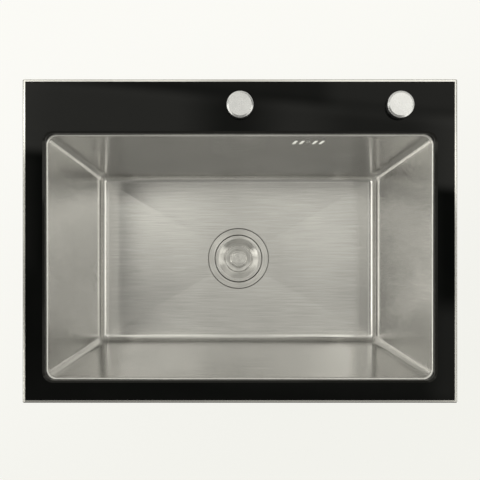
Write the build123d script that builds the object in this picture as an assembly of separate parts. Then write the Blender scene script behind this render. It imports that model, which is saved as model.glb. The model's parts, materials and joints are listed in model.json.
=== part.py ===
from build123d import *
import os
from math import atan2, cos, degrees, radians, sin

# Frame: X to the right, Y to the back (tap side), Z up.
# The origin is the centre of the rim's outline in plan, on the worktop surface.

# Rim outline and the stack of layers on the worktop
sink_length = 604.0
sink_width = 450.0
outline_corner = 2.0
lip_width = 3.8
lip_round = 1.8
gasket_thickness = 1.5
gasket_width = 7.0
gasket_inset = 1.0
trim_sheet = 1.0
bowl_sheet = 1.0
adhesive_thickness = 0.5
glass_thickness = 6.0
cutout_margin = 10.0  # the worktop cut-out lies this far inside the outline
ledge_overlap = 1.0  # the trim's ledge reaches this far past the cut-out's edge
glass_edge_gap = 0.4
deck_edge_gap = 0.3

# Glass opening and its polished bevel
margin_side = 30.4
margin_front = 31.2
margin_back = 75.2
opening_corner = 12.0
bevel_width = 2.8
bevel_depth = 1.4
adhesive_inset = 5.0

# Bowl
bowl_depth = 220.0  # from the top of the rim to the flat border of the floor
fold_inset = 2.5  # the bowl's wall starts this far inside the glass edge
fold_radius = 2.4
wall_inset = 18.6  # how far each wall leans in between deck and floor
bowl_corner = 12.5
floor_fillet = 12.0
foot_corner_spare = 0.5  # the fillet at the foot stays this much under the corner radius
fall_border_side = 26.5  # from the foot of the wall to where the floor starts to fall
fall_border_front = 20.0
fall_depth = 2.5
fall_tip = 2.5  # flat spot at the lowest point of the fall, lost in the recess
recess_step = 1.5

# Tap holes in the back deck and their covers
hole_diameter = 35.0
hole_from_back = 37.5
second_hole_from_side = 81.0
cap_base_diameter = 38.2
cap_top_diameter = 31.4
cap_rim_height = 1.2
cap_height = 7.4
cap_edge_round = 0.8
cover_seal_thickness = 0.8
cover_seal_inset = 0.5
cover_spigot_depth = 3.0
stud_diameter = 8.0
stud_length = 34.0
cover_washer_diameter = 50.0
cover_washer_thickness = 2.0
wing_nut_diameter = 14.0
wing_nut_height = 9.0
wing_span = 34.0
wing_thickness = 3.0
wing_height = 12.0
wing_turns = {"centre": -20.0, "right": 35.0}  # where each wing nut came to rest

# Clips that grip the worktop from below
clip_front_from_side = 120.0
clip_back_from_side = 165.0
clip_edge_gap = 1.0  # from the cut-out's edge to the bracket
bracket_width = 14.0
bracket_length = 22.0
bracket_height = 10.0
bracket_sheet = 1.5
clip_screw_diameter = 6.0
clip_head_diameter = 10.0
clip_head_height = 3.0
clip_screw_length = 62.0
clip_slot_width = 1.2
clip_slot_depth = 1.6
jaw_hub_diameter = 13.0
jaw_hub_height = 9.0
jaw_arm_width = 12.0
jaw_sheet = 2.5
jaw_reach = 24.0
jaw_lip_height = 13.0
jaw_tooth_depth = 1.5
jaw_tooth_slope = 45.0
jaw_teeth = 3
jaw_end_gap = 3.0  # from the jaw's hub to the tip of the screw, at rest

# Drain fitting in the middle of the floor
flange_diameter = 110.0
flange_sheet = 1.2
recess_gap = 2.0
drain_hole_diameter = 92.0
throat_gap = 0.7  # between the throat and the hole in the floor
throat_depth = 50.0
seat_slots = 8
seat_slot_width = 6.0
seat_slot_inner = 12.0
seat_slot_outer = 25.0
upper_seal_thickness = 1.0
lower_seal_thickness = 3.0
drain_collar_diameter = 108.0
drain_collar_thickness = 4.0
drain_wall = 3.0
drain_cup_gap = 1.7  # between the throat and the plastic cup
drain_sump = 24.0  # below the throat's seat
drain_cone_height = 8.0
tail_diameter = 47.8
tail_bore = 40.0
tail_length = 24.0
tail_collar_diameter = 56.0
crossbar_hub_diameter = 18.0
crossbar_arm_width = 4.0
crossbar_height = 8.0
crossbar_arms = 3
crossbar_turn = 20.0
drain_screw_diameter = 6.0
drain_screw_head_diameter = 14.0
drain_screw_head_height = 3.0

# Strainer basket, its cover and the stopper
cover_gap = 1.4  # between the strainer's cover and the throat, where the water goes in
cover_drop = 0.5
cover_sheet = 1.0
cover_land_width = 5.9
cover_dish_width = 11.8
cover_dish_depth = 5.5
cover_boss_step = 4.0  # from the bottom of the dish up to the middle of the cover
cover_boss_slope = 1.2
basket_wall = 1.2
basket_land_inset = 3.7
basket_slots = 24
basket_slot_width = 2.5
basket_slot_margin = 3.0
basket_holes = 12
basket_hole_diameter = 4.0
basket_hole_circle = 44.0
basket_feet = 4
basket_foot_width = 12.0
hub_diameter = 17.0
hub_height = 8.0
grip_ring_diameter = 13.0
grip_ring_height = 2.5
stem_diameter = 8.0
stem_flange_diameter = 16.0
stem_flange_height = 1.5
stopper_travel = 8.0
stopper_seal_diameter = 60.0
stopper_seal_thickness = 8.0
stopper_recess_diameter = 19.0
stopper_recess_depth = 6.0
knob_diameter = 29.4
knob_waist_diameter = 22.0
knob_height = 9.0
knob_rim_height = 3.0
knob_round = 1.0
knob_socket_depth = 6.0

# Overflow behind the back wall
overflow_from_end = 169.1  # from the bowl's right wall to the middle of the slots
overflow_drop = 33.5  # below the top of the rim
overflow_slot_height = 16.0
overflow_slot_width = 5.0
overflow_slot_lean = 13.0
overflow_inner_pitch = 19.0
overflow_outer_pitch = 39.0
overflow_length = 64.0
overflow_height = 40.0
overflow_depth = 30.0
overflow_corner = 6.0
overflow_wall = 3.0
overflow_gasket_thickness = 2.5
overflow_gasket_width = 4.0
overflow_boss_diameter = 9.0
overflow_screw_diameter = 4.0
overflow_head_diameter = 7.0
overflow_head_height = 1.4
overflow_screw_length = 20.0
pipe_diameter = 20.0
pipe_wall = 1.5
pipe_bend = 35.0
pipe_stand_off = 20.0  # from the wall to the middle of the pipe
pipe_insertion = 10.0
spout_wall = 2.5
spout_length = 18.0
port_length = 20.0
pipe_cone_length = 4.0
pipe_nut_wall = 3.0
pipe_nut_cover = 12.0
pipe_nut_shoulder = 2.5
pipe_nut_ribs = 10
pipe_nut_rib_size = 2.0

# Damping pads
pad_thickness = 2.0
pad_height = 100.0
pad_drop = 132.0  # from the top of the rim to the middle of the pad
pad_length_long = 320.0
pad_length_short = 180.0
pad_corner = 8.0

# Clearances
body_gap = 0.3  # between pieces of different bodies that don't run on each other
running_gap = 0.05  # radial, where one piece runs or threads on another
hole_gap = 0.3  # radial, round a screw or stud that passes through freely
same_level = 0.01

# Levels and places that follow from the sizes above
ledge_bottom = gasket_thickness
deck_underside = ledge_bottom + trim_sheet
deck_top = deck_underside + bowl_sheet
glass_bottom = deck_top + adhesive_thickness
rim_top = glass_bottom + glass_thickness
floor_level = rim_top - bowl_depth
recess_level = floor_level - fall_depth - recess_step

opening_length = sink_length - 2 * margin_side
opening_width = sink_width - margin_front - margin_back
centre_y = (margin_front - margin_back) / 2
bowl_length = opening_length - 2 * fold_inset
bowl_width = opening_width - 2 * fold_inset
wall_run = deck_top - floor_level
wall_lean = degrees(atan2(wall_inset, wall_run))
floor_length = bowl_length - 2 * wall_inset
floor_width = bowl_width - 2 * wall_inset
hole_y = sink_width / 2 - hole_from_back
hole_places = {"centre": 0.0, "right": sink_length / 2 - second_hole_from_side}
overflow_x = bowl_length / 2 - overflow_from_end
drain = Pos(0, centre_y, 0)


def plate(length, width, corner, bottom, top, y=0.0):
    outline = RectangleRounded(length, width, corner)
    return Pos(0, y, bottom) * extrude(outline, top - bottom)


def disc(diameter, bottom, top):
    return Pos(0, 0, bottom) * extrude(Circle(diameter / 2), top - bottom)


def ring(outer, inner, bottom, top):
    return disc(outer, bottom, top) - disc(inner, bottom, top)


def around(piece, count, turn=0.0):
    return [Rot(0, 0, turn + 360 * i / count) * piece for i in range(count)]


def near(edges, level, reach_x, reach_y):
    # level edges at one height that lie inside a rectangle round the bowl's centre
    chosen = []
    for edge in edges:
        box = edge.bounding_box()
        flat = abs(box.min.Z - level) < same_level and abs(box.max.Z - level) < same_level
        inside_x = max(abs(box.min.X), abs(box.max.X)) < reach_x
        inside_y = max(abs(box.min.Y - centre_y), abs(box.max.Y - centre_y)) < reach_y
        if flat and inside_x and inside_y:
            chosen.append(edge)
    return chosen


# Rim

def make_trim_frame():
    outside = plate(sink_length, sink_width, outline_corner, ledge_bottom, rim_top)
    outside = fillet(outside.faces().sort_by(Axis.Z)[-1].edges(), lip_round)
    inner_corner = outline_corner / 2
    well = plate(
        sink_length - 2 * lip_width, sink_width - 2 * lip_width, inner_corner,
        deck_underside, rim_top)
    ledge_width = cutout_margin + ledge_overlap
    window = plate(
        sink_length - 2 * ledge_width, sink_width - 2 * ledge_width, outline_corner,
        ledge_bottom, deck_underside)
    return outside - well - window


def make_rim_gasket():
    inner = gasket_inset + gasket_width
    outside = plate(
        sink_length - 2 * gasket_inset, sink_width - 2 * gasket_inset, outline_corner,
        0, gasket_thickness)
    window = plate(
        sink_length - 2 * inner, sink_width - 2 * inner, outline_corner,
        0, gasket_thickness)
    return outside - window


def tap_holes(diameter, bottom, top):
    return [Pos(x, hole_y, 0) * disc(diameter, bottom, top) for x in hole_places.values()]


def make_glass_panel():
    edge = lip_width + glass_edge_gap
    sheet = plate(
        sink_length - 2 * edge, sink_width - 2 * edge, outline_corner / 2,
        glass_bottom, rim_top)
    opening = plate(
        opening_length, opening_width, opening_corner, glass_bottom, rim_top, centre_y)
    sheet = sheet - opening
    top = sheet.faces().sort_by(Axis.Z)[-1]
    reach_x = opening_length / 2 + bevel_width
    reach_y = opening_width / 2 + bevel_width
    sheet = chamfer(
        near(sheet.edges(), rim_top, reach_x, reach_y), bevel_width, bevel_depth,
        reference=top)
    return sheet - tap_holes(hole_diameter, glass_bottom, rim_top)


def make_glass_adhesive():
    edge = lip_width + glass_edge_gap + adhesive_inset
    sheet = plate(
        sink_length - 2 * edge, sink_width - 2 * edge, outline_corner, deck_top, glass_bottom)
    opening = plate(
        opening_length + 2 * adhesive_inset, opening_width + 2 * adhesive_inset,
        opening_corner + adhesive_inset, deck_top, glass_bottom, centre_y)
    return sheet - opening - tap_holes(
        hole_diameter + 2 * adhesive_inset, deck_top, glass_bottom)


# Bowl

def frustum(low_length, low_width, low, high_length, high_width, high):
    # a block with flat slanting sides between two rectangles, centred on the bowl
    corners = [(1, 1), (-1, 1), (-1, -1), (1, -1)]
    foot = [(x * low_length / 2, centre_y + y * low_width / 2, low) for x, y in corners]
    head = [(x * high_length / 2, centre_y + y * high_width / 2, high) for x, y in corners]
    outlines = [foot, head]
    for i in range(4):
        j = (i + 1) % 4
        outlines.append([foot[i], foot[j], head[j], head[i]])
    faces = [make_face(Polyline(*outline, close=True)).face() for outline in outlines]
    return Solid(Shell(faces))


def tub(grow):
    # the bowl's inside at grow = 0, and its outside when grown by the sheet
    side_grow = grow / cos(radians(wall_lean))
    foot_inset = (wall_run + grow) * wall_inset / wall_run - side_grow
    foot_level = floor_level - grow
    body = frustum(
        bowl_length - 2 * foot_inset, bowl_width - 2 * foot_inset, foot_level,
        bowl_length + 2 * side_grow, bowl_width + 2 * side_grow, deck_top)
    slanting = [edge for edge in body.edges() if edge.bounding_box().size.Z > wall_run / 2]
    body = fillet(slanting, bowl_corner + grow)
    foot_fillet = min(floor_fillet, bowl_corner - foot_corner_spare)
    body = fillet(
        near(body.edges(), foot_level, bowl_length, bowl_width), foot_fillet + grow)
    fall_length = floor_length - 2 * fall_border_side
    fall_width = floor_width - 2 * fall_border_front
    fall = frustum(
        fall_tip, fall_tip * fall_width / fall_length, floor_level - grow - fall_depth,
        fall_length, fall_width, floor_level - grow)
    recess = drain * disc(
        flange_diameter + 2 * recess_gap + 2 * grow, recess_level - grow, floor_level)
    return body + fall + recess


def wall_plane(side, along, drop):
    # a plane on the outside of a wall, its normal pointing away from the bowl
    height = rim_top - drop
    inward = wall_inset * (deck_top - height) / wall_run
    reach = {
        "right": bowl_length / 2, "left": bowl_length / 2,
        "back": bowl_width / 2, "front": bowl_width / 2}[side]
    turn = {"right": 0, "back": 90, "left": 180, "front": 270}[side]
    out = reach + bowl_sheet / cos(radians(wall_lean)) - inward
    place = Pos(0, centre_y, height) * Rot(0, 0, turn) * Pos(out, 0, 0)
    if side in ("back", "front"):
        place = Pos(along, 0, 0) * place
    else:
        place = Pos(0, along, 0) * place
    return place * Rot(0, 90 + wall_lean, 0)


overflow_place = wall_plane("back", overflow_x, overflow_drop)


def overflow_slots():
    # four leaning slots in two pairs, cut straight back through the wall
    slots = []
    for pitch in (overflow_inner_pitch, overflow_outer_pitch):
        for side in (-1, 1):
            outline = Rot(0, 0, 90 - overflow_slot_lean) * SlotOverall(
                overflow_slot_height, overflow_slot_width)
            cut = extrude(outline, wall_inset, both=True)
            stand = Pos(overflow_x + side * pitch / 2, overflow_place.position.Y,
                        rim_top - overflow_drop) * Rot(90, 0, 0)
            slots.append(stand * cut)
    return slots


def make_bowl():
    edge = lip_width + deck_edge_gap
    deck = plate(
        sink_length - 2 * edge, sink_width - 2 * edge, outline_corner / 2,
        deck_underside, deck_top)
    shell = deck + tub(bowl_sheet)
    reach_x = bowl_length / 2 + fold_inset
    reach_y = bowl_width / 2 + fold_inset
    shell = fillet(
        near(shell.edges(), deck_underside, reach_x, reach_y), fold_radius - bowl_sheet)
    shell = shell - tub(0)
    shell = fillet(near(shell.edges(), deck_top, reach_x, reach_y), fold_radius)
    shell -= drain * disc(drain_hole_diameter, recess_level - bowl_sheet, recess_level)
    shell -= tap_holes(hole_diameter, deck_underside, deck_top)
    shell -= overflow_slots()
    screw_way = extrude(Circle(overflow_screw_diameter / 2 + hole_gap), wall_inset, both=True)
    return shell - overflow_place * screw_way


def make_sound_pad(side, length):
    outline = RectangleRounded(pad_height, length, pad_corner)
    return wall_plane(side, 0, pad_drop) * extrude(outline, pad_thickness)


# Covers over the tap holes

def make_cover_cap(x):
    base = rim_top + cover_seal_thickness
    rim = disc(cap_base_diameter, base, base + cap_rim_height)
    crown_height = cap_height - cap_rim_height
    crown = Pos(0, 0, base + cap_rim_height + crown_height / 2) * Cone(
        cap_base_diameter / 2, cap_top_diameter / 2, crown_height)
    cap = rim + crown
    cap = fillet(cap.faces().sort_by(Axis.Z)[-1].edges(), cap_edge_round)
    stud = disc(stud_diameter, base - stud_length, base)
    return Pos(x, hole_y, 0) * (cap + stud)


def make_cover_seal(x):
    flat = disc(
        cap_base_diameter - 2 * cover_seal_inset, rim_top, rim_top + cover_seal_thickness)
    spigot = disc(
        hole_diameter - 2 * running_gap, rim_top - cover_spigot_depth, rim_top)
    way = disc(
        stud_diameter + 2 * running_gap, rim_top - cover_spigot_depth,
        rim_top + cover_seal_thickness)
    return Pos(x, hole_y, 0) * (flat + spigot - way)


def make_cover_washer(x):
    washer = ring(
        cover_washer_diameter, stud_diameter + 2 * hole_gap,
        deck_underside - cover_washer_thickness, deck_underside)
    return Pos(x, hole_y, 0) * washer


def make_cover_nut(x, turn):
    top = deck_underside - cover_washer_thickness
    hub = disc(wing_nut_diameter, top - wing_nut_height, top)
    reach = wing_span / 2
    wing = Pos(reach / 2, 0, top - wing_nut_height / 2 - wing_height / 4) * Box(
        reach, wing_thickness, wing_height / 2 + wing_nut_height / 2)
    wing = fillet(wing.edges().filter_by(Axis.Y).group_by(Axis.X)[-1], wing_height / 4)
    bore = disc(stud_diameter + 2 * running_gap, top - 2 * wing_height, top)
    return Pos(x, hole_y, 0) * Rot(0, 0, turn) * (hub + around(wing, 2) - bore)


# Clips

clip_line = cutout_margin + clip_edge_gap + bracket_width / 2
clip_front_x = sink_length / 2 - clip_front_from_side
clip_back_x = sink_length / 2 - clip_back_from_side
clip_places = [
    Pos(clip_front_x, -sink_width / 2 + clip_line, 0) * Rot(0, 0, 270),
    Pos(-clip_front_x, -sink_width / 2 + clip_line, 0) * Rot(0, 0, 270),
    Pos(sink_length / 2 - clip_line, centre_y, 0),
    Pos(clip_back_x, sink_width / 2 - clip_line, 0) * Rot(0, 0, 90),
    Pos(-clip_back_x, sink_width / 2 - clip_line, 0) * Rot(0, 0, 90),
    Pos(-sink_length / 2 + clip_line, centre_y, 0) * Rot(0, 0, 180),
]
bracket_bottom = deck_underside - bracket_height
clip_head_bottom = bracket_bottom + bracket_sheet + body_gap
clip_screw_tip = clip_head_bottom - clip_screw_length
jaw_bottom = clip_screw_tip + jaw_end_gap


def make_clip_bracket():
    block = Pos(0, 0, bracket_bottom + bracket_height / 2) * Box(
        bracket_width, bracket_length, bracket_height)
    inside_height = bracket_height - bracket_sheet
    inside = Pos(0, 0, deck_underside - inside_height / 2) * Box(
        bracket_width - 2 * bracket_sheet, bracket_length, inside_height)
    way = disc(clip_screw_diameter + 2 * hole_gap, bracket_bottom, deck_underside)
    return block - inside - way


def make_clip_screw():
    head = disc(clip_head_diameter, clip_head_bottom, clip_head_bottom + clip_head_height)
    shank = disc(clip_screw_diameter, clip_screw_tip, clip_head_bottom)
    slot = Pos(0, 0, clip_screw_tip + clip_slot_depth / 2) * Box(
        clip_screw_diameter, clip_slot_width, clip_slot_depth)
    return head + shank - slot


def make_clip_jaw():
    # parked: the arm lies along the rim, and it swings outward under the worktop
    hub = disc(jaw_hub_diameter, jaw_bottom, jaw_bottom + jaw_hub_height)
    arm = Pos(0, jaw_reach / 2, jaw_bottom + jaw_sheet / 2) * Box(
        jaw_arm_width, jaw_reach, jaw_sheet)
    lip = Pos(0, jaw_reach - jaw_sheet / 2, jaw_bottom + jaw_lip_height / 2) * Box(
        jaw_arm_width, jaw_sheet, jaw_lip_height)
    pitch = jaw_arm_width / jaw_teeth
    tooth_gap = Triangle(a=2 * jaw_tooth_depth, B=jaw_tooth_slope, C=jaw_tooth_slope)
    notch = Rot(-90, 0, 0) * extrude(tooth_gap, jaw_sheet, both=True)
    top = jaw_bottom + jaw_lip_height - jaw_tooth_depth / 3  # the triangle's centroid
    notches = [
        Pos((i - (jaw_teeth - 1) / 2) * pitch, jaw_reach - jaw_sheet / 2, top) * notch
        for i in range(jaw_teeth)]
    bore = disc(
        clip_screw_diameter + 2 * running_gap, jaw_bottom, jaw_bottom + jaw_hub_height)
    return hub + arm + lip - notches - bore


# Drain

seat_bottom_of_seal = recess_level + upper_seal_thickness
flange_top = seat_bottom_of_seal + flange_sheet
throat_outer = drain_hole_diameter - 2 * throat_gap
throat_bore = throat_outer - 2 * flange_sheet
seat_top = flange_top - throat_depth
seat_bottom = seat_top - flange_sheet
under_bowl = recess_level - bowl_sheet
drain_top = under_bowl - lower_seal_thickness
cup_bore = throat_outer + 2 * drain_cup_gap
cup_outer = cup_bore + 2 * drain_wall
cup_floor = seat_bottom - drain_sump
tail_top = cup_floor - drain_cone_height - drain_wall
tail_bottom = tail_top - tail_length


def make_drain_flange():
    flange = ring(flange_diameter, throat_bore, seat_bottom_of_seal, flange_top)
    flange = fillet(flange.faces().sort_by(Axis.Z)[-1].edges(), flange_sheet / 2)
    throat = ring(throat_outer, throat_bore, seat_bottom, flange_top - flange_sheet / 2)
    seat = disc(throat_outer, seat_bottom, seat_top)
    slot_length = seat_slot_outer - seat_slot_inner
    slot = Pos((seat_slot_outer + seat_slot_inner) / 2, 0, seat_bottom) * extrude(
        SlotOverall(slot_length, seat_slot_width), flange_sheet)
    screw_way = disc(drain_screw_diameter + 2 * hole_gap, seat_bottom, seat_top)
    return drain * (flange + throat + seat - around(slot, seat_slots) - screw_way)


def make_drain_upper_seal():
    return drain * ring(
        flange_diameter - 2 * flange_sheet, drain_hole_diameter + 2 * hole_gap,
        recess_level, seat_bottom_of_seal)


def make_drain_lower_seal():
    return drain * ring(
        drain_collar_diameter, drain_hole_diameter + 2 * hole_gap, drain_top, under_bowl)


pipe_radius = pipe_diameter / 2
spout_bore = pipe_diameter + 2 * running_gap
spout_diameter = spout_bore + 2 * spout_wall
port_level = cup_floor + spout_diameter / 2
down = (overflow_place * Pos(1, 0, 0)).position - overflow_place.position
spout_axis = overflow_place * Pos(0, 0, pipe_stand_off)
spout_end = spout_axis.position + down * (overflow_height / 2 + spout_length)
pipe_corner = spout_end + down * ((spout_end.Z - port_level) / -down.Z)
port_turn = degrees(atan2(pipe_corner.Y - centre_y, pipe_corner.X))
port_out = Vector(cos(radians(port_turn)), sin(radians(port_turn)), 0)
port_end = Vector(0, centre_y, port_level) + port_out * (cup_outer / 2 + port_length)


def tube_along(start, direction, diameter, length):
    return Plane(origin=start, z_dir=direction) * extrude(Circle(diameter / 2), length)


def make_drain_body():
    collar = disc(drain_collar_diameter, drain_top - drain_collar_thickness, drain_top)
    wall = disc(cup_outer, cup_floor, drain_top)
    cup = collar + wall - disc(cup_bore, cup_floor, drain_top)
    hub = disc(crossbar_hub_diameter, seat_bottom - 2 * crossbar_height, seat_bottom)
    arm_length = cup_bore / 2 + drain_wall / 2
    arm = Pos(arm_length / 2, 0, seat_bottom - crossbar_height / 2) * Box(
        arm_length, crossbar_arm_width, crossbar_height)
    turn = port_turn + 180 / crossbar_arms + crossbar_turn
    bore = disc(
        drain_screw_diameter + 2 * running_gap, seat_bottom - 2 * crossbar_height, seat_bottom)
    body = drain * (cup + hub + around(arm, crossbar_arms, turn) - bore)
    start = port_end - port_out * (port_length + drain_wall / 2)
    port = tube_along(start, port_out, spout_diameter, port_length + drain_wall / 2)
    reach = port_length + 2 * drain_wall
    port_way = tube_along(port_end - port_out * reach, port_out, spout_bore, reach)
    return body + port - port_way


def make_drain_funnel():
    # welded under the cup's wall, and ends in the threaded tail
    outline = Polyline(
        (tail_bore / 2, tail_bottom),
        (tail_diameter / 2, tail_bottom),
        (tail_diameter / 2, tail_top),
        (tail_collar_diameter / 2, tail_top),
        (tail_collar_diameter / 2, tail_top + drain_wall),
        (cup_outer / 2, cup_floor - drain_wall),
        (cup_outer / 2, cup_floor),
        (cup_bore / 2, cup_floor),
        (tail_bore / 2, cup_floor - drain_cone_height),
        close=True)
    return drain * revolve(Plane.XZ * make_face(outline), Axis.Z)


def make_drain_screw():
    head = disc(drain_screw_head_diameter, seat_top, seat_top + drain_screw_head_height)
    head = fillet(head.faces().sort_by(Axis.Z)[-1].edges(), drain_screw_head_height / 3)
    shank = disc(drain_screw_diameter, seat_bottom - 2 * crossbar_height, seat_top)
    return drain * (head + shank)


# Strainer and stopper

cover_top = flange_top - cover_drop
cover_diameter = throat_bore - 2 * cover_gap
land_inner = cover_diameter - 2 * cover_land_width
dish_inner = land_inner - 2 * cover_dish_width
boss_diameter = dish_inner - 2 * cover_boss_slope
boss_top = cover_top - cover_dish_depth + cover_boss_step
basket_outer = cover_diameter - 2 * basket_land_inset
stopper_seal_bottom = seat_top + body_gap
stopper_seal_top = stopper_seal_bottom + stopper_seal_thickness
basket_floor = stopper_seal_top + stem_flange_height + stopper_travel + body_gap
basket_rim = cover_top - cover_sheet
knob_bottom = boss_top + body_gap


def make_strainer_cover():
    # a flat land, a hollow ring and a raised middle, all of one sheet
    low = cover_top - cover_dish_depth
    middle = (land_inner + dish_inner) / 4

    def section(shift):
        return [
            Line((cover_diameter / 2, cover_top - shift), (land_inner / 2, cover_top - shift)),
            ThreePointArc(
                (land_inner / 2, cover_top - shift), (middle, low - shift),
                (dish_inner / 2, boss_top - cover_boss_slope - shift)),
            Line(
                (dish_inner / 2, boss_top - cover_boss_slope - shift),
                (boss_diameter / 2, boss_top - shift)),
            Line((boss_diameter / 2, boss_top - shift), (0, boss_top - shift))]

    edge = cover_diameter / 2
    outline = section(0) + section(cover_sheet) + [
        Line((edge, cover_top), (edge, cover_top - cover_sheet)),
        Line((0, boss_top), (0, boss_top - cover_sheet))]
    cover = revolve(Plane.XZ * make_face(outline), Axis.Z)
    way = disc(stem_diameter + 2 * hole_gap, boss_top - cover_sheet, boss_top)
    return drain * (cover - way)


def make_strainer_basket():
    foot_bottom = seat_top + body_gap
    bore = basket_outer - 2 * basket_wall
    wall = ring(basket_outer, bore, foot_bottom, basket_rim)
    floor = disc(basket_outer, basket_floor, basket_floor + basket_wall)
    hub = disc(hub_diameter, basket_floor, basket_floor + hub_height)
    gap_height = basket_floor - foot_bottom
    quarter = Rot(0, 0, 360 / basket_feet / 2) * Pos(basket_outer / 2, 0, 0)
    gap_width = basket_outer * sin(radians(180 / basket_feet)) - basket_foot_width
    gap = quarter * Pos(0, 0, foot_bottom + gap_height / 2) * Box(
        basket_outer / 2, gap_width, gap_height)
    slot_height = basket_rim - basket_floor - basket_wall - 2 * basket_slot_margin
    slot_middle = (basket_rim + basket_floor + basket_wall) / 2
    slot = Pos(basket_outer / 2, 0, slot_middle) * Box(
        4 * basket_wall, basket_slot_width, slot_height)
    hole = Pos(basket_hole_circle / 2, 0, 0) * disc(
        basket_hole_diameter, basket_floor, basket_floor + basket_wall)
    pocket = disc(
        grip_ring_diameter, basket_floor + hub_height - grip_ring_height,
        basket_floor + hub_height)
    way = disc(stem_diameter + 2 * running_gap, basket_floor, basket_floor + hub_height)
    basket = wall + floor + hub - around(gap, basket_feet) - around(slot, basket_slots)
    return drain * (basket - around(hole, basket_holes) - pocket - way)


def make_stem_grip_ring():
    top = basket_floor + hub_height
    return drain * ring(
        grip_ring_diameter, stem_diameter + 2 * running_gap, top - grip_ring_height, top)


def make_stopper_seal():
    body = disc(stopper_seal_diameter, stopper_seal_bottom, stopper_seal_top)
    body = chamfer(body.faces().sort_by(Axis.Z)[-1].edges(), stopper_seal_thickness / 3)
    recess_top = stopper_seal_bottom + stopper_recess_depth
    recess = disc(stopper_recess_diameter, stopper_seal_bottom, recess_top)
    way = disc(stem_diameter, stopper_seal_bottom, stopper_seal_top)
    return drain * (body - recess - way)


def make_stopper_stem():
    recess_top = stopper_seal_bottom + stopper_recess_depth
    rod = disc(
        stem_diameter, recess_top - stem_flange_height, knob_bottom + knob_socket_depth)
    lower = disc(stem_flange_diameter, recess_top - stem_flange_height, recess_top)
    upper = disc(
        stem_flange_diameter, stopper_seal_top, stopper_seal_top + stem_flange_height)
    return drain * (rod + lower + upper)


def make_stopper_knob():
    top = knob_bottom + knob_height
    waist = disc(knob_waist_diameter, knob_bottom, top - knob_rim_height)
    rim = disc(knob_diameter, top - knob_rim_height, top)
    knob = fillet(rim.edges().filter_by(GeomType.CIRCLE), knob_round) + waist
    socket = disc(stem_diameter, knob_bottom, knob_bottom + knob_socket_depth)
    return drain * (knob - socket)


# Overflow

def make_overflow_gasket():
    frame = RectangleRounded(overflow_height, overflow_length, overflow_corner)
    window = RectangleRounded(
        overflow_height - 2 * overflow_gasket_width,
        overflow_length - 2 * overflow_gasket_width, overflow_corner / 2)
    return overflow_place * extrude(frame - window, overflow_gasket_thickness)


def make_overflow_housing():
    outline = RectangleRounded(overflow_height, overflow_length, overflow_corner)
    inside = RectangleRounded(
        overflow_height - 2 * overflow_wall, overflow_length - 2 * overflow_wall,
        overflow_corner / 2)
    start = Pos(0, 0, overflow_gasket_thickness)
    block = overflow_place * start * extrude(outline, overflow_depth)
    room = overflow_place * start * extrude(inside, overflow_depth - overflow_wall)
    spout = tube_along(
        spout_axis.position, down, spout_diameter, overflow_height / 2 + spout_length)
    spout_way = tube_along(
        spout_axis.position, down, spout_bore, overflow_height / 2 + spout_length)
    boss_start = overflow_place * Pos(0, 0, body_gap)
    boss_length = overflow_depth + overflow_gasket_thickness - body_gap - overflow_wall / 2
    boss = boss_start * extrude(Circle(overflow_boss_diameter / 2), boss_length)
    screw_way = overflow_place * extrude(
        Circle(overflow_screw_diameter / 2 + running_gap), overflow_screw_length)
    return (block + spout - room - spout_way) + boss - screw_way


def make_overflow_screw():
    # the head lies on the inside of the back wall
    shank_start = overflow_place * Pos(0, 0, -bowl_sheet)
    shank = shank_start * extrude(
        Circle(overflow_screw_diameter / 2), overflow_screw_length + bowl_sheet)
    head = shank_start * extrude(Circle(overflow_head_diameter / 2), -overflow_head_height)
    return head + shank


pipe_start = spout_end - down * pipe_insertion
pipe_finish = port_end - port_out * pipe_insertion


def make_overflow_pipe():
    path = FilletPolyline(pipe_start, pipe_corner, pipe_finish, radius=pipe_bend)
    section = Plane(origin=pipe_start, z_dir=down)
    outside = sweep(section * Circle(pipe_radius), path=path)
    inside = sweep(section * Circle(pipe_radius - pipe_wall), path=path)
    return outside - inside


def make_pipe_cone(end, direction):
    plane = Plane(origin=end, z_dir=direction)
    section = Circle(spout_diameter / 2 - running_gap) - Circle(pipe_radius)
    return plane * extrude(section, pipe_cone_length)


def make_pipe_nut(end, direction):
    plane = Plane(origin=end, z_dir=direction)
    outer = spout_diameter + 2 * running_gap + 2 * pipe_nut_wall
    start = Pos(0, 0, -pipe_nut_cover)
    length = pipe_nut_cover + pipe_cone_length
    sleeve = start * extrude(Circle(outer / 2), length + pipe_nut_shoulder)
    rib = start * Pos(outer / 2, 0, 0) * extrude(
        Circle(pipe_nut_rib_size / 2), length + pipe_nut_shoulder)
    thread = start * extrude(Circle(spout_diameter / 2 + running_gap), length)
    way = start * extrude(
        Circle(pipe_radius + running_gap), length + pipe_nut_shoulder)
    return plane * (sleeve + around(rib, pipe_nut_ribs) - thread - way)


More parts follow.
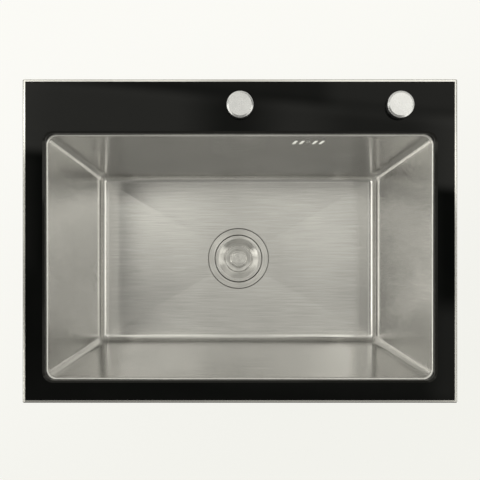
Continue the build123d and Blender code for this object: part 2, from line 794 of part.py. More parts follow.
pieces = {
    "trim_frame": make_trim_frame(),
    "rim_gasket": make_rim_gasket(),
    "glass_panel": make_glass_panel(),
    "glass_adhesive": make_glass_adhesive(),
    "bowl": make_bowl(),
    "sound_pad_front": make_sound_pad("front", pad_length_long),
    "sound_pad_back": make_sound_pad("back", pad_length_long),
    "sound_pad_left": make_sound_pad("left", pad_length_short),
    "sound_pad_right": make_sound_pad("right", pad_length_short),
    "clip_brackets": Compound([place * make_clip_bracket() for place in clip_places]),
    "drain_flange": make_drain_flange(),
    "drain_upper_seal": make_drain_upper_seal(),
    "drain_lower_seal": make_drain_lower_seal(),
    "drain_body": make_drain_body(),
    "drain_funnel": make_drain_funnel(),
    "drain_screw": make_drain_screw(),
    "strainer_cover": make_strainer_cover(),
    "strainer_basket": make_strainer_basket(),
    "stem_grip_ring": make_stem_grip_ring(),
    "stopper_seal": make_stopper_seal(),
    "stopper_stem": make_stopper_stem(),
    "stopper_knob": make_stopper_knob(),
    "overflow_gasket": make_overflow_gasket(),
    "overflow_housing": make_overflow_housing(),
    "overflow_screw": make_overflow_screw(),
    "overflow_pipe": make_overflow_pipe(),
    "overflow_cone_top": make_pipe_cone(spout_end, down),
    "overflow_cone_bottom": make_pipe_cone(port_end, port_out),
    "overflow_nut_top": make_pipe_nut(spout_end, down),
    "overflow_nut_bottom": make_pipe_nut(port_end, port_out),
}
for name, x in hole_places.items():
    pieces["cover_cap_" + name] = make_cover_cap(x)
    pieces["cover_seal_" + name] = make_cover_seal(x)
    pieces["cover_washer_" + name] = make_cover_washer(x)
    pieces["cover_nut_" + name] = make_cover_nut(x, wing_turns[name])
for number, place in enumerate(clip_places, start=1):
    pieces[f"clip_screw_{number}"] = place * make_clip_screw()
    pieces[f"clip_jaw_{number}"] = place * make_clip_jaw()

os.makedirs("parts", exist_ok=True)
for name, piece in pieces.items():
    export_step(piece, f"parts/{name}.step")
print("wrote", len(pieces), "pieces")
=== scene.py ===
import bpy
import bmesh
import json
from math import cos, pi, radians, sin, tan
from types import SimpleNamespace
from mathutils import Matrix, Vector


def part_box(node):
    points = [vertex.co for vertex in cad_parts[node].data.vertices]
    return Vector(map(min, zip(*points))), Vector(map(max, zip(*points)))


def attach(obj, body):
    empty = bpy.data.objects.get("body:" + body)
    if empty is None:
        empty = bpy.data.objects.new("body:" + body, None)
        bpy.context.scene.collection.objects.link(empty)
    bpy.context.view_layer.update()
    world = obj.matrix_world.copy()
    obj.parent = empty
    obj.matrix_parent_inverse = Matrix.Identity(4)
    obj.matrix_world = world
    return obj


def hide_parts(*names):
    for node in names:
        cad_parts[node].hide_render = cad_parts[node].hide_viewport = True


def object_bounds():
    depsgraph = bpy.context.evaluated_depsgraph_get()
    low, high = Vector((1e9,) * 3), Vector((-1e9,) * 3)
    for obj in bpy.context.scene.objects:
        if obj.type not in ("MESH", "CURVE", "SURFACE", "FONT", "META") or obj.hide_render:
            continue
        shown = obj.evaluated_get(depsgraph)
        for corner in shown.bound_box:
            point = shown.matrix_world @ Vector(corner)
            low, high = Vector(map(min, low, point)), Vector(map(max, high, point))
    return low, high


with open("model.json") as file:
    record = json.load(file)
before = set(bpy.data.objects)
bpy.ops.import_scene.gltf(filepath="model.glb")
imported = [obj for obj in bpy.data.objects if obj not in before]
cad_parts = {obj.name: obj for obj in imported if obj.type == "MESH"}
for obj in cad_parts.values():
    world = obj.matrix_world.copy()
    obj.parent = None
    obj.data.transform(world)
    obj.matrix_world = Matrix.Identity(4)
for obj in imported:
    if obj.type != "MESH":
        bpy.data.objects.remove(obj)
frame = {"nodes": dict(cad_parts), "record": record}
nodes = frame["nodes"]
cadLow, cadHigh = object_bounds()  # the CAD box, before anything is dressed
print("frame loaded:", len(nodes), "nodes")

mm = 0.001


# Shader tree helpers

def put(tree, kind, inputs=None, **settings):
    node = tree.nodes.new(kind)
    for name, value in settings.items():
        setattr(node, name, value)
    for name, value in (inputs or {}).items():
        if isinstance(value, bpy.types.NodeSocket):
            tree.links.new(value, node.inputs[name])
        else:
            node.inputs[name].default_value = value
    return node


def calc(tree, operation, *values):
    return put(tree, "ShaderNodeMath", dict(enumerate(values)), operation=operation).outputs[0]


def invert(tree, mask):
    return calc(tree, "SUBTRACT", 1.0, mask)


def step(tree, value, start, end):
    # 0 below start, 1 above end, smooth in between
    node = put(tree, "ShaderNodeMapRange", {0: value, 1: start, 2: end},
               interpolation_type="SMOOTHSTEP")
    return node.outputs[0]


def spread(tree, value, low, high):
    return put(tree, "ShaderNodeMapRange", {0: value, 3: low, 4: high}).outputs[0]


def blendValues(tree, first, firstShare, second, secondShare):
    return calc(tree, "ADD", calc(tree, "MULTIPLY", first, firstShare),
                calc(tree, "MULTIPLY", second, secondShare))


def blendColours(tree, mask, first, second):
    node = put(tree, "ShaderNodeMix", {0: mask, 6: first, 7: second}, data_type="RGBA")
    return node.outputs[2]


def blendVectors(tree, mask, first, second):
    node = put(tree, "ShaderNodeMix", {0: mask, 4: first, 5: second}, data_type="VECTOR")
    return node.outputs[1]


def newGroup(name, ins, outs):
    group = bpy.data.node_groups.new(name, "ShaderNodeTree")
    for label, kind, value in ins:
        socket = group.interface.new_socket(label, in_out="INPUT", socket_type=kind)
        socket.default_value = value
    for label, kind in outs:
        group.interface.new_socket(label, in_out="OUTPUT", socket_type=kind)
    return group, put(group, "NodeGroupInput"), put(group, "NodeGroupOutput")


def useGroup(tree, group, **inputs):
    node = put(tree, "ShaderNodeGroup", node_tree=group)
    for name, value in inputs.items():
        node.inputs[name].default_value = value
    return node.outputs


# Shared effects. Where a setting ends in From, the effect grows between its two values.

sheetGrainLook = {
    "endWallFrom": (0.6, 0.8), "levelFrom": (0.6, 0.8), "lineDetail": 5.0, "lineRoughness": 0.75,
    "cloudScale": 9.0, "cloudDetail": 2.0}


def makeSheetGrain():
    # brush lines along the sheet's length, which run down the two end walls
    look = sheetGrainLook
    group, into, out = newGroup(
        "sheetGrain",
        [("LineWidth", "NodeSocketFloat", 0.0006), ("LineLength", "NodeSocketFloat", 0.06)],
        [("Line", "NodeSocketFloat"), ("Cloud", "NodeSocketFloat")])
    place = put(group, "ShaderNodeTexCoord")
    spot = put(group, "ShaderNodeSeparateXYZ", {0: place.outputs["Object"]})
    facing = put(group, "ShaderNodeSeparateXYZ", {0: place.outputs["Normal"]})
    endWall = step(group, calc(group, "ABSOLUTE", facing.outputs[0]), *look["endWallFrom"])
    level = step(group, calc(group, "ABSOLUTE", facing.outputs[2]), *look["levelFrom"])
    along = put(group, "ShaderNodeMix", {0: endWall, 2: spot.outputs[0], 3: spot.outputs[2]})
    other = put(group, "ShaderNodeMix", {0: endWall, 2: spot.outputs[2], 3: spot.outputs[0]})
    depth = calc(group, "MULTIPLY", other.outputs[0], invert(group, level))
    line = put(group, "ShaderNodeCombineXYZ", {
        0: calc(group, "DIVIDE", along.outputs[0], into.outputs["LineLength"]),
        1: calc(group, "DIVIDE", spot.outputs[1], into.outputs["LineWidth"]),
        2: calc(group, "DIVIDE", depth, into.outputs["LineWidth"])})
    fine = put(group, "ShaderNodeTexNoise", {
        "Vector": line.outputs[0], "Scale": 1.0, "Detail": look["lineDetail"],
        "Roughness": look["lineRoughness"]})
    cloud = put(group, "ShaderNodeTexNoise", {
        "Vector": place.outputs["Object"], "Scale": look["cloudScale"],
        "Detail": look["cloudDetail"]})
    group.links.new(fine.outputs[0], out.inputs["Line"])
    group.links.new(cloud.outputs[0], out.inputs["Cloud"])
    return group


spunGrainLook = {"lineDetail": 3.0, "lineRoughness": 0.65}


def makeSpunGrain():
    # turning marks round an upright axis through Centre
    group, into, out = newGroup(
        "spunGrain",
        [("Centre", "NodeSocketVector", (0, 0, 0)), ("LineWidth", "NodeSocketFloat", 0.0005)],
        [("Line", "NodeSocketFloat")])
    place = put(group, "ShaderNodeTexCoord")
    offset = put(group, "ShaderNodeVectorMath",
                 {0: place.outputs["Object"], 1: into.outputs["Centre"]}, operation="SUBTRACT")
    spot = put(group, "ShaderNodeSeparateXYZ", {0: offset.outputs[0]})
    flat = put(group, "ShaderNodeCombineXYZ", {0: spot.outputs[0], 1: spot.outputs[1]})
    radius = put(group, "ShaderNodeVectorMath", {0: flat.outputs[0]}, operation="LENGTH")
    way = put(group, "ShaderNodeVectorMath", {0: flat.outputs[0]}, operation="NORMALIZE")
    turn = put(group, "ShaderNodeSeparateXYZ", {0: way.outputs[0]})
    depth = calc(group, "ADD", radius.outputs["Value"], spot.outputs[2])
    line = put(group, "ShaderNodeCombineXYZ", {
        0: calc(group, "DIVIDE", depth, into.outputs["LineWidth"]),
        1: turn.outputs[0], 2: turn.outputs[1]})
    fine = put(group, "ShaderNodeTexNoise", {
        "Vector": line.outputs[0], "Scale": 1.0, "Detail": spunGrainLook["lineDetail"],
        "Roughness": spunGrainLook["lineRoughness"]})
    group.links.new(fine.outputs[0], out.inputs["Line"])
    return group


speckleDetail = 2.0


def makeSpeckle():
    # an even grain with slow patches, for blasted metal, plastic, rubber and foam
    group, into, out = newGroup(
        "speckle",
        [("GrainSize", "NodeSocketFloat", 0.0004), ("PatchSize", "NodeSocketFloat", 0.03)],
        [("Grain", "NodeSocketFloat"), ("Patch", "NodeSocketFloat")])
    place = put(group, "ShaderNodeTexCoord")
    for label, source in (("Grain", "GrainSize"), ("Patch", "PatchSize")):
        scale = calc(group, "DIVIDE", 1.0, into.outputs[source])
        noise = put(group, "ShaderNodeTexNoise", {
            "Vector": place.outputs["Object"], "Scale": scale, "Detail": speckleDetail})
        group.links.new(noise.outputs[0], out.inputs[label])
    return group


backFrom = (0.1, 0.3)


def makeLeaning():
    # 1 on faces that lean away from level: ground bevels, rolled lips and cut edges, where painted
    #                                       reflection and shade are laid.
    # BackFree takes away those that face backward.
    group, into, out = newGroup(
        "leaning", [("Upright", "NodeSocketFloat", 0.8), ("Level", "NodeSocketFloat", 0.95),
                    ("BackFree", "NodeSocketFloat", 0.0)],
        [("Mask", "NodeSocketFloat")])
    place = put(group, "ShaderNodeTexCoord")
    facing = put(group, "ShaderNodeSeparateXYZ", {0: place.outputs["Normal"]})
    level = step(group, calc(group, "ABSOLUTE", facing.outputs[2]),
                 into.outputs["Upright"], into.outputs["Level"])
    back = calc(group, "MULTIPLY", step(group, facing.outputs[1], *backFrom),
                into.outputs["BackFree"])
    mask = calc(group, "MULTIPLY", invert(group, level), invert(group, back))
    group.links.new(mask, out.inputs["Mask"])
    return group


sheetGrain = makeSheetGrain()
spunGrain = makeSpunGrain()
speckle = makeSpeckle()
leaning = makeLeaning()
print("shared effects made")


# Materials

def newMaterial(name, spec):
    material = bpy.data.materials.new(name)
    material.use_nodes = True
    tree = material.node_tree
    shader = tree.nodes["Principled BSDF"]
    for label, value in spec["shader"].items():
        shader.inputs[label].default_value = value
    return material, tree, shader


def finishSurface(tree, shader, spec, colour, gloss, height):
    # an edge colour of painted light lies over the rest: a painted dark reflection on the trim's
    # lip, a painted reflection on the glass's bevel
    if "edge" in spec:
        edge = useGroup(tree, leaning, **spec["edge"]["lean"])
        colour = blendColours(tree, edge["Mask"], colour, spec["edge"]["colour"])
    tree.links.new(colour, shader.inputs["Base Color"])
    tree.links.new(spread(tree, gloss, *spec["roughness"]), shader.inputs["Roughness"])
    bump = put(tree, "ShaderNodeBump", {
        "Strength": spec["bump"], "Distance": spec["bumpDepth"], "Height": height})
    tree.links.new(bump.outputs[0], shader.inputs["Normal"])


sheetSteel = {
    "shader": {"Metallic": 1.0, "Anisotropic": 0.88},
    "dark": (0.620, 0.616, 0.605, 1), "light": (0.790, 0.786, 0.773, 1),
    "lineShare": 0.7, "cloudShare": 0.3, "toneFrom": (0.3, 0.7), "roughness": (0.19, 0.22),
    "acrossGrain": (0.0, 1.0, 0.0), "acrossCorner": (0.0, 0.0, 1.0),
    "foldFrom": (0.1, 0.2), "levelFrom": (0.35, 0.6),
    "lineWidth": 0.0019, "lineLength": 0.08, "bump": 0.012, "bumpDepth": 0.00003}


def makeSheetSteel(name, spec):
    material, tree, shader = newMaterial(name, spec)
    grain = useGroup(tree, sheetGrain, LineWidth=spec["lineWidth"], LineLength=spec["lineLength"])
    tone = blendValues(tree, grain["Line"], spec["lineShare"], grain["Cloud"], spec["cloudShare"])
    colour = blendColours(tree, step(tree, tone, *spec["toneFrom"]), spec["dark"], spec["light"])
    finishSurface(tree, shader, spec, colour, grain["Line"], grain["Line"])
    place = put(tree, "ShaderNodeTexCoord")
    facing = put(tree, "ShaderNodeSeparateXYZ", {0: place.outputs["Normal"]})
    folds = [step(tree, calc(tree, "ABSOLUTE", facing.outputs[i]), *spec["foldFrom"])
             for i in (0, 1)]
    level = step(tree, calc(tree, "ABSOLUTE", facing.outputs[2]), *spec["levelFrom"])
    corner = calc(tree, "MULTIPLY", calc(tree, "MULTIPLY", *folds), invert(tree, level))
    across = blendVectors(tree, corner, spec["acrossGrain"], spec["acrossCorner"])
    if "endRails" in spec:
        spot = put(tree, "ShaderNodeSeparateXYZ", {0: place.outputs["Object"]})
        end = calc(tree, "GREATER_THAN", calc(tree, "ABSOLUTE", spot.outputs[0]),
                   spec["endRails"]["from"])
        across = blendVectors(tree, end, across, spec["endRails"]["across"])
    tree.links.new(across, shader.inputs["Tangent"])
    return material


# The frame round the glass is the same sheet. Its rolled lip is painted dark except at the back,
# a painted dark reflection and shade of the dim room round it, and its two end rails are brushed
# along their own length.
trimSteel = {
    **sheetSteel, "dark": (0.71, 0.705, 0.69, 1), "light": (0.85, 0.845, 0.83, 1),
    "endRails": {"from": 0.2977, "across": (1.0, 0.0, 0.0)},
    # edge: the lip's painted dark reflection and shade, left off the faces that face the back
    "edge": {"lean": {"Upright": 0.93, "Level": 0.99, "BackFree": 1.0},
             "colour": (0.08, 0.078, 0.072, 1)}}

spunSteel = {
    "shader": {"Metallic": 1.0, "Anisotropic": 0.92, "Anisotropic Rotation": 0.25},
    "dark": (0.64, 0.635, 0.622, 1), "light": (0.83, 0.825, 0.807, 1), "toneFrom": (0.3, 0.7),
    "roughness": (0.27, 0.33), "lineWidth": 0.0012, "bump": 0.2, "bumpDepth": 0.00003}


def makeSpunSteel(name, spec, centre):
    material, tree, shader = newMaterial(name, spec)
    grain = useGroup(tree, spunGrain, Centre=centre, LineWidth=spec["lineWidth"])
    tone = step(tree, grain["Line"], *spec["toneFrom"])
    colour = blendColours(tree, tone, spec["dark"], spec["light"])
    finishSurface(tree, shader, spec, colour, grain["Line"], grain["Line"])
    place = put(tree, "ShaderNodeTexCoord")
    arm = put(tree, "ShaderNodeVectorMath",
              {0: place.outputs["Object"], 1: centre}, operation="SUBTRACT")
    ringWay = put(tree, "ShaderNodeVectorMath",
                  {0: (0, 0, 1), 1: arm.outputs[0]}, operation="CROSS_PRODUCT")
    unit = put(tree, "ShaderNodeVectorMath", {0: ringWay.outputs[0]}, operation="NORMALIZE")
    tree.links.new(unit.outputs[0], shader.inputs["Tangent"])
    return material


speckleTone = {"grainShare": 0.5, "patchShare": 0.5, "toneFrom": (0.35, 0.65)}
whitePlastic = {
    "shader": {"Specular IOR Level": 0.45},
    "dark": (0.66, 0.66, 0.62, 1), "light": (0.72, 0.72, 0.68, 1), "roughness": (0.32, 0.42),
    "grain": 0.0005, "patch": 0.03, "bump": 0.1, "bumpDepth": 0.00003}
speckled = {
    "cap_steel": {
        "shader": {"Metallic": 1.0}, "dark": (0.665, 0.672, 0.688, 1),
        "light": (0.735, 0.742, 0.758, 1), "roughness": (0.24, 0.30),
        "grain": 0.0005, "patch": 0.01, "bump": 0.04, "bumpDepth": 0.00002},
    "black_glass": {
        "shader": {"IOR": 1.5, "Specular IOR Level": 0.128}, "dark": (0.0020, 0.0024, 0.0022, 1),
        "light": (0.0026, 0.0030, 0.0028, 1), "roughness": (0.015, 0.03),
        "grain": 0.02, "patch": 0.12, "bump": 0.02, "bumpDepth": 0.00001,
        # edge: a lighter colour on the bevel, a painted reflection standing in for its brighter
        # sheen
        "edge": {"lean": {"Upright": 0.93, "Level": 0.98}, "colour": (0.016, 0.016, 0.015, 1)}},
    "zinc_steel": {
        "shader": {"Metallic": 1.0}, "dark": (0.50, 0.50, 0.50, 1),
        "light": (0.62, 0.62, 0.61, 1), "roughness": (0.34, 0.5),
        "grain": 0.0006, "patch": 0.008, "bump": 0.15, "bumpDepth": 0.00003},
    "black_rubber": {
        "shader": {"Specular IOR Level": 0.35}, "dark": (0.012, 0.012, 0.012, 1),
        "light": (0.022, 0.022, 0.022, 1), "roughness": (0.5, 0.65),
        "grain": 0.0004, "patch": 0.01, "bump": 0.2, "bumpDepth": 0.00005},
    "foam_seal": {
        "shader": {"Specular IOR Level": 0.2}, "dark": (0.020, 0.020, 0.021, 1),
        "light": (0.050, 0.050, 0.052, 1), "roughness": (0.85, 0.95),
        "grain": 0.0007, "patch": 0.01, "bump": 0.6, "bumpDepth": 0.0002},
    "damping_pad": {
        "shader": {"Specular IOR Level": 0.3}, "dark": (0.050, 0.050, 0.052, 1),
        "light": (0.085, 0.085, 0.088, 1), "roughness": (0.6, 0.75),
        "grain": 0.0012, "patch": 0.04, "bump": 0.4, "bumpDepth": 0.0002},
    "bond": {
        "shader": {"Specular IOR Level": 0.4}, "dark": (0.015, 0.015, 0.015, 1),
        "light": (0.030, 0.030, 0.030, 1), "roughness": (0.4, 0.55),
        "grain": 0.001, "patch": 0.01, "bump": 0.2, "bumpDepth": 0.0001},
    "white_plastic": whitePlastic,
    "painted_glow_plastic": {  # glows faintly: painted light standing in for the light that falls on its outside and passes through
        **whitePlastic,
        "shader": {"Emission Color": (1.0, 1.0, 0.95, 1), "Emission Strength": 0.30}},
}
# the overflow housing and its gasket get the painted glow
ownFinish = {"overflow_housing": "painted_glow_plastic", "overflow_gasket": "painted_glow_plastic"}


def makeSpeckled(name, spec):
    material, tree, shader = newMaterial(name, spec)
    grain = useGroup(tree, speckle, GrainSize=spec["grain"], PatchSize=spec["patch"])
    tone = blendValues(tree, grain["Grain"], speckleTone["grainShare"],
                       grain["Patch"], speckleTone["patchShare"])
    mask = step(tree, tone, *speckleTone["toneFrom"])
    colour = blendColours(tree, mask, spec["dark"], spec["light"])
    finishSurface(tree, shader, spec, colour, grain["Patch"], grain["Grain"])
    return material


drainLow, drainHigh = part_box("drain_flange")
drainCentre = (drainLow + drainHigh) / 2
finishes = {name: makeSpeckled(name, spec) for name, spec in speckled.items()}
finishes["brushed_steel"] = makeSheetSteel("brushed_steel", sheetSteel)
finishes["trim_steel"] = makeSheetSteel("trim_steel", trimSteel)
finishes["spun_steel"] = makeSpunSteel("spun_steel", spunSteel, drainCentre)

slotOf = {entry["node"]: entry["material_slot"] for entry in frame["record"]["subparts"]}
for name, node in nodes.items():
    node.data.materials.clear()
    node.data.materials.append(finishes[ownFinish.get(name, slotOf[name])])
print("materials placed")


# Mesh helpers. An outline is a list of (radius, height) points in millimetres,
# and a third value rounds that corner.

mergeDistance = 0.001  # millimetres, nearer points become one


def rounded(points, steps=5):
    line = []
    for i, point in enumerate(points):
        here = Vector(point[:2])
        if len(point) < 3:
            line.append(here)
            continue
        before = (Vector(points[i - 1][:2]) - here).normalized()
        after = (Vector(points[(i + 1) % len(points)][:2]) - here).normalized()
        half = before.angle(after) / 2
        middle = here + (before + after).normalized() * point[2] / sin(half)
        first = here + before * point[2] / tan(half) - middle
        last = here + after * point[2] / tan(half) - middle
        for k in range(steps + 1):
            line.append(middle + first.lerp(last, k / steps).normalized() * point[2])
    return line


def turnOutline(work, points, centre, sides):
    # an open strip turned round the upright axis through centre
    rings = []
    for radius, height in rounded(points):
        if radius < mergeDistance:
            rings.append([work.verts.new((centre.x, centre.y, height * mm))] * sides)
            continue
        rings.append([
            work.verts.new((centre.x + radius * mm * cos(2 * pi * i / sides),
                            centre.y + radius * mm * sin(2 * pi * i / sides), height * mm))
            for i in range(sides)])
    for lower, upper in zip(rings, rings[1:]):
        for i in range(sides):
            j = (i + 1) % sides
            corners = list(dict.fromkeys((lower[i], lower[j], upper[j], upper[i])))
            work.faces.new(corners)


def turnThread(work, look, low, high, centre):
    # roots and crests climb one pitch a turn, and run out flat at both ends
    root, crest, pitch, sides = look["root"], look["crest"], look["pitch"], look["sides"]
    spareRows, earlyTurns = 8, 1.5
    rows = 2 * int((high - low) / pitch) + spareRows

    def spot(row, i):
        height = low + (row / 2 + i / sides - earlyTurns) * pitch
        inside = max(0.0, min(height - low, high - height)) / pitch
        radius = root
        if row % 2:
            radius += (crest - root) * min(1.0, inside)
        turn = 2 * pi * i / sides
        return (centre.x + radius * mm * cos(turn), centre.y + radius * mm * sin(turn),
                max(low, min(high, height)) * mm)

    grid = [[work.verts.new(spot(row, i)) for i in range(sides)] for row in range(rows)]
    climb = 2  # rows that the thread has risen where a turn closes
    for row in range(rows - climb - 1):
        for i in range(sides):
            ahead, rise = (i + 1, 0) if i + 1 < sides else (0, climb)
            work.faces.new((grid[row][i], grid[row + rise][ahead],
                            grid[row + 1 + rise][ahead], grid[row + 1][i]))
    work.verts.index_update()


def onUpright(centre, turn, base=0.0):
    # places an outline on an upright plane through the axis, turned round it
    return lambda x, y, shift: (
        centre.x + (x * cos(turn) - shift * sin(turn)) * mm,
        centre.y + (x * sin(turn) + shift * cos(turn)) * mm, (base + y) * mm)


def onLevel(centre, level):
    # places an outline on a level plane
    return lambda x, y, shift: (centre.x + x * mm, centre.y + y * mm, (level + shift) * mm)


def addPrism(work, outline, place, thickness):
    # a flat outline made thick, both ways from its middle
    sides = []
    for shift in (-thickness / 2, thickness / 2):
        sides.append([work.verts.new(place(spot.x, spot.y, shift)) for spot in outline])
    work.faces.new(sides[0][::-1])
    work.faces.new(sides[1])
    for i in range(len(outline)):
        j = (i + 1) % len(outline)
        work.faces.new((sides[0][i], sides[0][j], sides[1][j], sides[1][i]))


def makePiece(name, work, body, slot, *replaced, sharp=35):
    bmesh.ops.remove_doubles(work, verts=work.verts, dist=mergeDistance * mm)
    loose = [vert for vert in work.verts if not vert.link_faces]
    bmesh.ops.delete(work, geom=loose, context="VERTS")
    bmesh.ops.recalc_face_normals(work, faces=work.faces)
    mesh = bpy.data.meshes.new(name)
    work.to_mesh(mesh)
    work.free()
    mesh.shade_smooth()
    mesh.set_sharp_from_angle(angle=radians(sharp))
    mesh.materials.append(finishes[slot])
    piece = bpy.data.objects.new(name, mesh)
    bpy.context.scene.collection.objects.link(piece)
    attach(piece, body)
    if replaced:
        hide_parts(*replaced)
    return piece


def soften(piece, edge):
    bevel = piece.modifiers.new("soften", "BEVEL")
    bevel.width = edge["width"] * mm
    bevel.segments = edge["segments"]
    bevel.limit_method = "ANGLE"
    bevel.angle_limit = radians(edge["angle"])


def extent(node):
    # the node's middle in metres, then half its length in X and its two levels in millimetres
    low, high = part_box(node)
    return SimpleNamespace(centre=(low + high) / 2, radius=(high.x - low.x) / 2 / mm,
                           low=low.z / mm, high=high.z / mm)


# Covers over the tap holes

capLook = {
    "height": 7.4, "faceRadius": 15.7, "faceRound": 0.5,
    "bevel": {"radius": 18.4, "drop": 1.0, "round": 0.7},
    "rim": 1.2, "rimRound": 0.35, "footRound": 0.15, "lip": 1.6, "hollow": 0.5,
    "root": 3.45, "crest": 4.0, "pitch": 1.25, "shank": 3.0, "lead": 1.0, "chamfer": 0.5,
    "sides": 128}


def makeCap(side):
    look, bevel, root = capLook, capLook["bevel"], capLook["root"]
    node = "cover_cap_" + side
    size = extent(node)
    base = size.high - look["height"]
    lip, under = size.radius - look["lip"], base + look["hollow"]
    threadLow, threadHigh = size.low + look["lead"], base - look["shank"]
    work = bmesh.new()
    turnOutline(work, [
        (0, size.high), (look["faceRadius"], size.high, look["faceRound"]),
        (bevel["radius"], size.high - bevel["drop"], bevel["round"]),
        (size.radius, base + look["rim"], look["rimRound"]),
        (size.radius, base, look["footRound"]), (lip, base), (lip, under), (root, under),
        (root, threadHigh)], size.centre, look["sides"])
    turnThread(work, look, threadLow, threadHigh, size.centre)
    turnOutline(work, [
        (root, threadLow), (root - look["chamfer"], size.low), (0, size.low)],
        size.centre, look["sides"])
    makePiece("cap_turned_" + side, work, "root", slotOf[node], node)


wingLook = {
    "hub": 9.0, "hubTop": 7.0, "hubRim": 1.5, "hubFoot": 6.2, "footRound": 0.8, "bore": 4.05,
    "outline": [(5.0, -1.4), (11.5, -4.4, 4.0), (16.9, -7.6, 2.6), (16.9, -12.7, 2.5),
                (12.0, -12.7, 2.4), (9.6, -9.2, 2.5), (5.0, -8.4)],
    "thick": 2.8, "turn": {"centre": -20.0, "right": 35.0}, "sides": 48,
    "castEdge": {"width": 0.7, "segments": 3, "angle": 50}}


def makeWingNut(side):
    look, bore = wingLook, wingLook["bore"]
    node = "cover_nut_" + side
    size = extent(node)
    foot = size.high - look["hub"]
    work = bmesh.new()
    turnOutline(work, [
        (bore, foot), (bore, size.high), (look["hubTop"], size.high),
        (look["hubTop"], size.high - look["hubRim"]), (look["hubFoot"], foot, look["footRound"]),
        (bore, foot)], size.centre, look["sides"])
    for half in (0, 180):
        place = onUpright(size.centre, radians(look["turn"][side] + half), size.high)
        addPrism(work, rounded(look["outline"]), place, look["thick"])
    piece = makePiece("wing_nut_" + side, work, "root", slotOf[node], node)
    soften(piece, look["castEdge"])


for side in ("centre", "right"):
    makeCap(side)
    makeWingNut(side)
print("covers made")


# Clip screws, with their threads and the flat blade's slot in the lower end

clipLook = {
    "headHeight": 3.0, "headRound": 1.0, "headFootRound": 0.3, "shank": 3.0, "root": 2.45,
    "crest": 3.0, "pitch": 1.0, "lead": 0.6, "slotWidth": 1.2, "slotDepth": 1.6, "slotArc": 15,
    "sides": 40, "jawEdge": {"width": 0.35, "segments": 2, "angle": 40},
    "bracketEdge": {"width": 0.3, "segments": 2, "angle": 40}}
clipNumbers = range(1, 7)


def makeClipScrew(number):
    look, root = clipLook, clipLook["root"]
    node = f"clip_screw_{number}"
    size = extent(node)
    head = size.high - look["headHeight"]
    tip = size.low + look["slotDepth"]
    threadLow, threadHigh = tip + look["lead"], head - look["shank"]
    work = bmesh.new()
    turnOutline(work, [
        (0, size.high), (size.radius, size.high, look["headRound"]),
        (size.radius, head, look["headFootRound"]), (root, head), (root, threadHigh)],
        size.centre, look["sides"])
    turnThread(work, look, threadLow, threadHigh, size.centre)
    turnOutline(work, [(root, threadLow), (root, tip), (0, tip)], size.centre, look["sides"])
    side = look["slotWidth"] / 2
    reach = (root ** 2 - side ** 2) ** 0.5
    place = onLevel(size.centre, tip - look["slotDepth"] / 2)
    arc = [radians(angle) for angle in range(90 - look["slotArc"], -90, -look["slotArc"])]
    for sign in (-1, 1):
        flat = [Vector((sign * side, -reach)), Vector((sign * side, reach))]
        curve = [Vector((sign * root * cos(turn), root * sin(turn))) for turn in arc]
        outline = flat + [spot for spot in curve if abs(spot.x) > side]
        addPrism(work, outline, place, look["slotDepth"])
    makePiece(f"threaded_screw_{number}", work, node, slotOf[node], node)


for number in clipNumbers:
    makeClipScrew(number)
    soften(nodes[f"clip_jaw_{number}"], clipLook["jawEdge"])
soften(nodes["clip_brackets"], clipLook["bracketEdge"])
print("clips made")


# Weld beads that hold the brackets to the deck

weldLook = {
    "length": 16.0, "radius": 0.9, "offset": 7.15, "drop": 0.3, "ripple": 0.16, "ripples": 11,
    "taper": 0.06, "endSize": 0.3, "longSideFrom": 150.0, "rings": 67, "sides": 12}


def addBead(work, middle, along, aside):
    look = weldLook
    turns = [2 * pi * i / look["sides"] for i in range(look["sides"])]
    rings = []
    for k in range(look["rings"]):
        t = k / (look["rings"] - 1)
        swell = 1 - look["ripple"] * abs(cos(pi * look["ripples"] * t))
        swell *= min(1.0, min(t, 1 - t) / look["taper"] + look["endSize"])
        spot = middle + along * (t - 0.5) * look["length"] * mm
        rings.append([work.verts.new(spot + (aside * cos(turn) + Vector((0, 0, sin(turn))))
                                     * look["radius"] * swell * mm) for turn in turns])
    for lower, upper in zip(rings, rings[1:]):
        for i in range(look["sides"]):
            j = (i + 1) % look["sides"]
            work.faces.new((lower[i], lower[j], upper[j], upper[i]))
    work.faces.new(rings[0][::-1])
    work.faces.new(rings[-1])


def makeWelds():
    # the brackets at the front and back lie along X, those at the two ends along Y
    work = bmesh.new()
    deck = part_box("clip_brackets")[1].z - weldLook["drop"] * mm
    for number in clipNumbers:
        centre = extent(f"clip_screw_{number}").centre
        longSide = abs(centre.y) > weldLook["longSideFrom"] * mm
        along = Vector((1, 0, 0)) if longSide else Vector((0, 1, 0))
        aside = Vector((0, 0, 1)).cross(along)
        for sign in (-1, 1):
            middle = Vector((centre.x, centre.y, deck)) + aside * sign * weldLook["offset"] * mm
            addBead(work, middle, along, aside)
    makePiece("bracket_welds", work, "root", slotOf["clip_brackets"])


makeWelds()
print("brackets welded")


# Drain outlet: the funnel and its threaded tail, stiffened by ribs

funnelLook = {
    "wall": 3.0, "rimRound": 0.8, "cone": 8.0, "bore": 20.0, "collar": 28.0, "collarRound": 1.5,
    "collarFootRound": 0.6, "tail": 24.0, "root": 22.5, "crest": 23.9, "pitch": 2.309,
    "lead": 1.2, "runOut": 1.0, "chamfer": 0.6, "sides": 144,
    "rib": {"count": 12, "thick": 2.0, "reach": 14.0, "sink": 0.3, "lift": 0.5, "tipLift": 0.3}}


